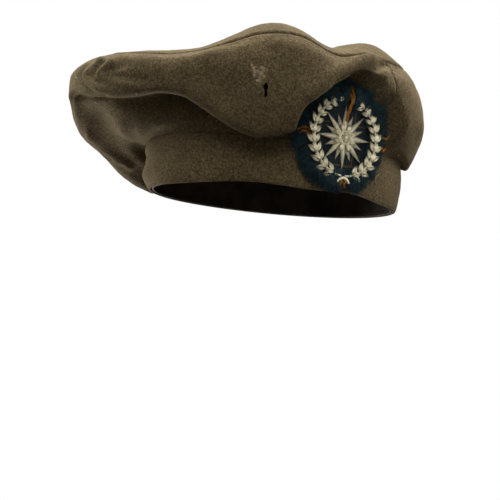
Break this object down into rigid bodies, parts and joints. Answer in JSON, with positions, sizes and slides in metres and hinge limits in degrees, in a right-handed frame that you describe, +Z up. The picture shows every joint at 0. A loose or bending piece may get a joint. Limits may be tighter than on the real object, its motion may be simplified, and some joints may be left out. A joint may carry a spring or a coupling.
{
  "type": "beret",
  "caption": "Full khaki wool bonnet that flops over a cloth headband, with a pinned white-metal badge on a frayed dark woven patch.",
  "frame": {"origin": "middle of the head opening, in the plane of the headband's lower rim", "axes": "+Z up through the crown, -Y the wearer's front, +X the wearer's left, where the badge is"},
  "size_m": [0.2635, 0.2672, 0.1172],
  "materials": {
    "crown_wool": "felted khaki wool, matt and fuzzy",
    "band_wool": "felted khaki wool, matt and fuzzy",
    "sweatband_leather": "worn dark brown leather",
    "lining_cloth": "black cotton lining",
    "sewing_thread": "waxed cotton thread",
    "backing_wool": "dark woven wool with ochre lines and a frayed edge",
    "white_metal": "struck white metal, tarnished in its hollows",
    "copper_wire": "dull copper wire",
    "pin_brass": "dull drawn brass"
  },
  "bodies": {
    "bonnet": {"crown_top": "crown_wool", "side_front": "crown_wool", "side_back": "crown_wool", "headband": "band_wool", "sweatband": "sweatband_leather", "lining_top": "lining_cloth", "lining_side": "lining_cloth", "crown_seam_thread": "sewing_thread", "band_seam_thread": "sewing_thread", "left_seam_thread": "sewing_thread", "right_seam_thread": "sewing_thread", "sweatband_thread": "sewing_thread", "badge_backing": "backing_wool", "badge_wreath": "white_metal", "badge_star": "white_metal", "lug_upper": "copper_wire", "lug_lower": "copper_wire"},
    "split_pin": {"split_pin": "pin_brass"}
  },
  "joints": [
    {"name": "pin_draw", "type": "slide", "parent": "bonnet", "child": "split_pin", "axis": [0, 0, 1], "range_m": [0, 0.027]}
  ]
}
